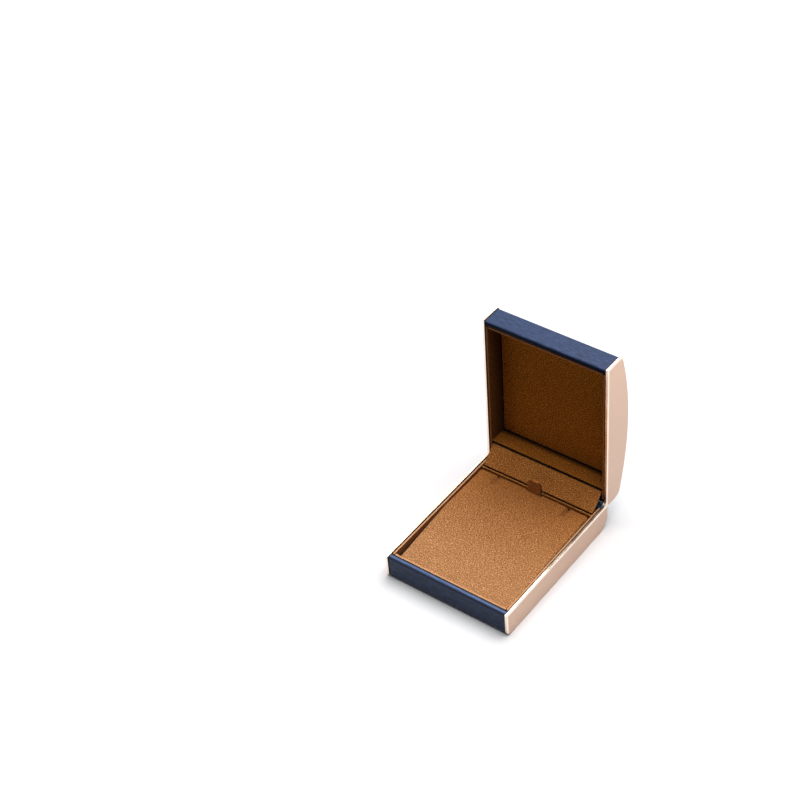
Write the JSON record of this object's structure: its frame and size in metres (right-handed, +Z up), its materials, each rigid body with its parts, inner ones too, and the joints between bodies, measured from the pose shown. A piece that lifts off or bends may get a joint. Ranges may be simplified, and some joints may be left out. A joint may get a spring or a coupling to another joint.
{
  "type": "hinged pendant box",
  "caption": "Small hinged jewellery gift box, arched lid standing open: leatherette trays, bevelled metal side plates, suede linings, sprung hinge flap and lift-out pad with a pull tab.",
  "frame": {"origin": "centre of the bottom face of the base, where the box stands on a table", "axes": "+X to the right seen from the front, +Y to the back where the hinge is, +Z up"},
  "size_m": [0.07, 0.1031, 0.0977],
  "materials": {
    "leatherette": "satin grained leatherette",
    "rose_gold": "satin face with polished bevels",
    "suede": "napped suede",
    "tray_plastic": "moulded matte",
    "hinge_steel": "pressed sheet",
    "greyboard": "uncoated board"
  },
  "bodies": {
    "base": {"base_shell": "tray_plastic", "base_wrap": "leatherette", "base_plate_left": "rose_gold", "base_plate_right": "rose_gold", "base_lining_front": "suede", "base_lining_left": "suede", "base_lining_right": "suede", "base_hinge_card": "suede", "base_hinge_leaf": "hinge_steel", "hinge_pin": "hinge_steel"},
    "lid": {"lid_shell": "tray_plastic", "lid_wrap": "leatherette", "lid_plate_left": "rose_gold", "lid_plate_right": "rose_gold", "lid_lining_front": "suede", "lid_lining_left": "suede", "lid_lining_right": "suede", "lid_hinge_card": "suede", "lid_ceiling": "suede", "lid_hinge_leaf": "hinge_steel"},
    "flap": {"hinge_spring": "hinge_steel", "flap_board": "greyboard", "flap_cover": "suede"},
    "pad": {"pad_board": "greyboard", "insert_pad": "suede", "pull_tab": "suede"}
  },
  "joints": [
    {"name": "lid_hinge", "type": "hinge", "parent": "base", "child": "lid", "pos_m": [0, 0.0415, 0.0137], "axis": [1, 0, 0], "range_deg": [0, 91]},
    {"name": "flap_hinge", "type": "hinge", "parent": "base", "child": "flap", "pos_m": [0, 0.0415, 0.0137], "axis": [1, 0, 0], "range_deg": [0, 45.5]},
    {"name": "pad_lift", "type": "slide", "parent": "base", "child": "pad", "axis": [0, 0, 1], "range_m": [0, 0.0038]}
  ],
  "couplings": [
    {"joint": "flap_hinge", "follows": "lid_hinge", "ratio": 0.5}
  ]
}
